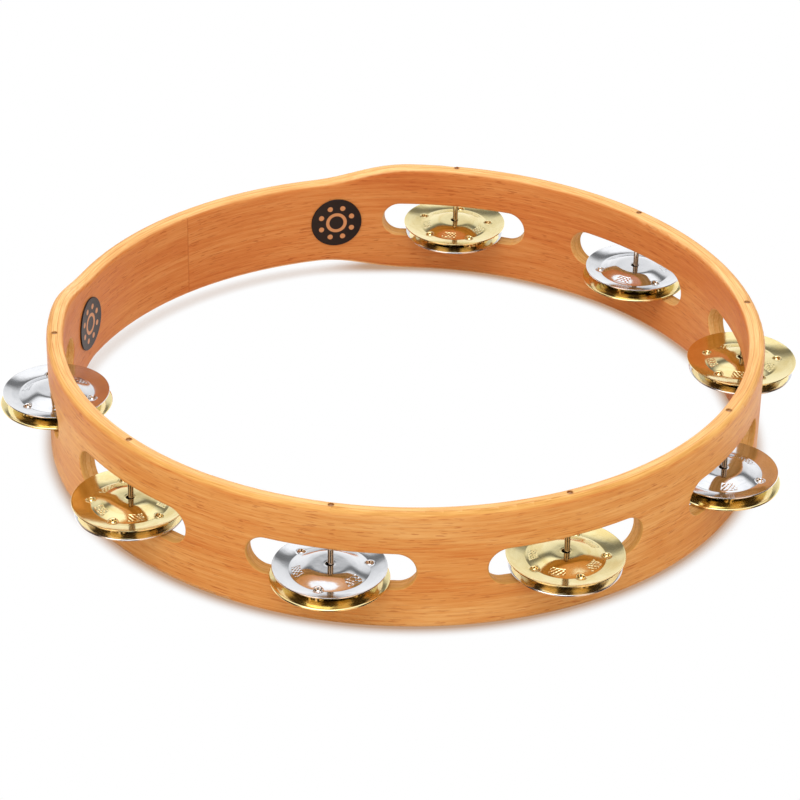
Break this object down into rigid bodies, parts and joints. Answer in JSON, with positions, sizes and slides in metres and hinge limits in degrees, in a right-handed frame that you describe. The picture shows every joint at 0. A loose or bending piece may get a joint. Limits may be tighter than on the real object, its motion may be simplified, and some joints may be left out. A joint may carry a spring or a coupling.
{
  "type": "tambourine",
  "caption": "Headless wooden tambourine: a slotted ring with a hand grip and loose jingle pairs on upright pins.",
  "frame": {"origin": "centre of the ring at mid-height", "axes": "+Z along the ring's axis and the pins, upward as it lies; the hand grip is centred on -X; +Y completes a right-handed frame"},
  "size_m": [0.2645, 0.2874, 0.0444],
  "materials": {
    "lacquered_wood": "gloss lacquer",
    "polished_brass": "polished",
    "polished_steel": "polished",
    "pin_wire": "drawn wire",
    "badge": "satin"
  },
  "bodies": {
    "frame": {"frame": "lacquered_wood", "pin_1": "pin_wire", "pin_2": "pin_wire", "pin_3": "pin_wire", "pin_4": "pin_wire", "pin_5": "pin_wire", "pin_6": "pin_wire", "pin_7": "pin_wire", "pin_8": "pin_wire", "badge_left": "badge", "badge_right": "badge"},
    "lower_1": {"jingle_lower_1": "polished_brass"},
    "upper_1": {"jingle_upper_1": "polished_steel"},
    "lower_2": {"jingle_lower_2": "polished_steel"},
    "upper_2": {"jingle_upper_2": "polished_brass"},
    "lower_3": {"jingle_lower_3": "polished_brass"},
    "upper_3": {"jingle_upper_3": "polished_steel"},
    "lower_4": {"jingle_lower_4": "polished_steel"},
    "upper_4": {"jingle_upper_4": "polished_brass"},
    "lower_5": {"jingle_lower_5": "polished_brass"},
    "upper_5": {"jingle_upper_5": "polished_steel"},
    "lower_6": {"jingle_lower_6": "polished_steel"},
    "upper_6": {"jingle_upper_6": "polished_brass"},
    "lower_7": {"jingle_lower_7": "polished_brass"},
    "upper_7": {"jingle_upper_7": "polished_steel"},
    "lower_8": {"jingle_lower_8": "polished_steel"},
    "upper_8": {"jingle_upper_8": "polished_brass"}
  },
  "joints": [
    {"name": "spin_1", "type": "hinge", "parent": "frame", "child": "lower_1", "pos_m": [-0.07531, -0.09851, 0], "axis": [0, 0, 1], "continuous": true},
    {"name": "clash_1", "type": "slide", "parent": "lower_1", "child": "upper_1", "axis": [0, 0, 1], "range_m": [0, 0.00695]},
    {"name": "spin_2", "type": "hinge", "parent": "frame", "child": "lower_2", "pos_m": [-0.00216, -0.12398, 0], "axis": [0, 0, 1], "continuous": true},
    {"name": "clash_2", "type": "slide", "parent": "lower_2", "child": "upper_2", "axis": [0, 0, 1], "range_m": [0, 0.00695]},
    {"name": "spin_3", "type": "hinge", "parent": "frame", "child": "lower_3", "pos_m": [0.07183, -0.10108, 0], "axis": [0, 0, 1], "continuous": true},
    {"name": "clash_3", "type": "slide", "parent": "lower_3", "child": "upper_3", "axis": [0, 0, 1], "range_m": [0, 0.00695]},
    {"name": "spin_4", "type": "hinge", "parent": "frame", "child": "lower_4", "pos_m": [0.1178, -0.03873, 0], "axis": [0, 0, 1], "continuous": true},
    {"name": "clash_4", "type": "slide", "parent": "lower_4", "child": "upper_4", "axis": [0, 0, 1], "range_m": [0, 0.00695]},
    {"name": "spin_5", "type": "hinge", "parent": "frame", "child": "lower_5", "pos_m": [0.1178, 0.03873, 0], "axis": [0, 0, 1], "continuous": true},
    {"name": "clash_5", "type": "slide", "parent": "lower_5", "child": "upper_5", "axis": [0, 0, 1], "range_m": [0, 0.00695]},
    {"name": "spin_6", "type": "hinge", "parent": "frame", "child": "lower_6", "pos_m": [0.07183, 0.10108, 0], "axis": [0, 0, 1], "continuous": true},
    {"name": "clash_6", "type": "slide", "parent": "lower_6", "child": "upper_6", "axis": [0, 0, 1], "range_m": [0, 0.00695]},
    {"name": "spin_7", "type": "hinge", "parent": "frame", "child": "lower_7", "pos_m": [-0.00216, 0.12398, 0], "axis": [0, 0, 1], "continuous": true},
    {"name": "clash_7", "type": "slide", "parent": "lower_7", "child": "upper_7", "axis": [0, 0, 1], "range_m": [0, 0.00695]},
    {"name": "spin_8", "type": "hinge", "parent": "frame", "child": "lower_8", "pos_m": [-0.07531, 0.09851, 0], "axis": [0, 0, 1], "continuous": true},
    {"name": "clash_8", "type": "slide", "parent": "lower_8", "child": "upper_8", "axis": [0, 0, 1], "range_m": [0, 0.00695]}
  ]
}
